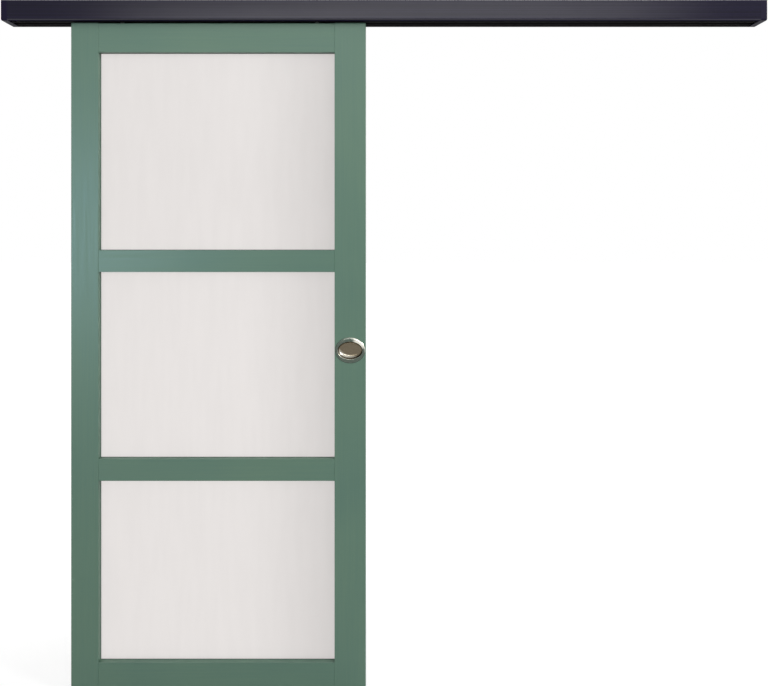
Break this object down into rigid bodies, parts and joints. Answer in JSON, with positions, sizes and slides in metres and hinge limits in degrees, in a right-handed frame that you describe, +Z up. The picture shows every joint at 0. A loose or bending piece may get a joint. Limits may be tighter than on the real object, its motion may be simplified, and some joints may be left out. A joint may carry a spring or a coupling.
{
  "type": "glazed sliding door",
  "caption": "Top-hung sliding door: a green painted wooden leaf with frosted glass panes and oval finger pulls, hung from a wall track behind a dark metal pelmet.",
  "frame": {"origin": "on the floor, below the middle of the track's length, half-way between the wall face and the pelmet's front", "axes": "+X along the track to the right as seen from the room, +Y towards the wall, +Z up"},
  "size_m": [2.316, 0.078, 2.114],
  "materials": {
    "green_paint": "satin",
    "beech": "matte",
    "frosted_glass": "matte",
    "glazing_rubber": "matte",
    "dark_anodised": "satin",
    "cap_plastic": "matte",
    "dark_nickel": "satin",
    "zinc_steel": "satin",
    "wheel_nylon": "satin",
    "cast_zinc": "matte",
    "buffer_rubber": "matte",
    "guide_nylon": "matte",
    "mill_aluminium": "satin"
  },
  "bodies": {
    "track": {"track": "dark_anodised", "pelmet": "dark_anodised", "end_cap_left": "cap_plastic", "end_cap_right": "cap_plastic", "stop_left": "mill_aluminium", "stop_right": "mill_aluminium", "stop_buffer_left": "buffer_rubber", "stop_buffer_right": "buffer_rubber", "stop_screws": "zinc_steel", "floor_guide": "guide_nylon"},
    "leaf": {"left_stile": "green_paint", "right_stile": "green_paint", "top_rail": "green_paint", "upper_cross_rail": "green_paint", "lower_cross_rail": "green_paint", "bottom_rail": "green_paint", "rail_dowels": "beech", "upper_glass": "frosted_glass", "middle_glass": "frosted_glass", "lower_glass": "frosted_glass", "upper_gasket": "glazing_rubber", "middle_gasket": "glazing_rubber", "lower_gasket": "glazing_rubber", "front_pull": "dark_nickel", "back_pull": "dark_nickel", "hanger_plate_left": "zinc_steel", "hanger_plate_right": "zinc_steel", "hanger_bolt_left": "zinc_steel", "hanger_bolt_right": "zinc_steel", "lock_nuts": "zinc_steel", "plate_screws": "zinc_steel", "carriage_left": "cast_zinc", "carriage_right": "cast_zinc", "axles": "zinc_steel", "guide_channel": "mill_aluminium"},
    "left_outer_front_wheel": {"left_outer_front_wheel": "wheel_nylon"},
    "left_outer_back_wheel": {"left_outer_back_wheel": "wheel_nylon"},
    "left_inner_front_wheel": {"left_inner_front_wheel": "wheel_nylon"},
    "left_inner_back_wheel": {"left_inner_back_wheel": "wheel_nylon"},
    "right_outer_front_wheel": {"right_outer_front_wheel": "wheel_nylon"},
    "right_outer_back_wheel": {"right_outer_back_wheel": "wheel_nylon"},
    "right_inner_front_wheel": {"right_inner_front_wheel": "wheel_nylon"},
    "right_inner_back_wheel": {"right_inner_back_wheel": "wheel_nylon"}
  },
  "joints": [
    {"name": "leaf_slide", "type": "slide", "parent": "track", "child": "leaf", "axis": [1, 0, 0], "range_m": [0, 0.834]},
    {"name": "left_outer_front_roll", "type": "hinge", "parent": "leaf", "child": "left_outer_front_wheel", "pos_m": [-0.826, -0.0031, 2.0783], "axis": [0, 1, 0], "continuous": true},
    {"name": "left_outer_back_roll", "type": "hinge", "parent": "leaf", "child": "left_outer_back_wheel", "pos_m": [-0.826, 0.0171, 2.0783], "axis": [0, 1, 0], "continuous": true},
    {"name": "left_inner_front_roll", "type": "hinge", "parent": "leaf", "child": "left_inner_front_wheel", "pos_m": [-0.786, -0.0031, 2.0783], "axis": [0, 1, 0], "continuous": true},
    {"name": "left_inner_back_roll", "type": "hinge", "parent": "leaf", "child": "left_inner_back_wheel", "pos_m": [-0.786, 0.0171, 2.0783], "axis": [0, 1, 0], "continuous": true},
    {"name": "right_outer_front_roll", "type": "hinge", "parent": "leaf", "child": "right_outer_front_wheel", "pos_m": [-0.186, -0.0031, 2.0783], "axis": [0, 1, 0], "continuous": true},
    {"name": "right_outer_back_roll", "type": "hinge", "parent": "leaf", "child": "right_outer_back_wheel", "pos_m": [-0.186, 0.0171, 2.0783], "axis": [0, 1, 0], "continuous": true},
    {"name": "right_inner_front_roll", "type": "hinge", "parent": "leaf", "child": "right_inner_front_wheel", "pos_m": [-0.226, -0.0031, 2.0783], "axis": [0, 1, 0], "continuous": true},
    {"name": "right_inner_back_roll", "type": "hinge", "parent": "leaf", "child": "right_inner_back_wheel", "pos_m": [-0.226, 0.0171, 2.0783], "axis": [0, 1, 0], "continuous": true}
  ],
  "couplings": [
    {"joint": "left_outer_front_roll", "follows": "leaf_slide", "rad_per_m": 90.909},
    {"joint": "left_outer_back_roll", "follows": "leaf_slide", "rad_per_m": 90.909},
    {"joint": "left_inner_front_roll", "follows": "leaf_slide", "rad_per_m": 90.909},
    {"joint": "left_inner_back_roll", "follows": "leaf_slide", "rad_per_m": 90.909},
    {"joint": "right_outer_front_roll", "follows": "leaf_slide", "rad_per_m": 90.909},
    {"joint": "right_outer_back_roll", "follows": "leaf_slide", "rad_per_m": 90.909},
    {"joint": "right_inner_front_roll", "follows": "leaf_slide", "rad_per_m": 90.909},
    {"joint": "right_inner_back_roll", "follows": "leaf_slide", "rad_per_m": 90.909}
  ]
}
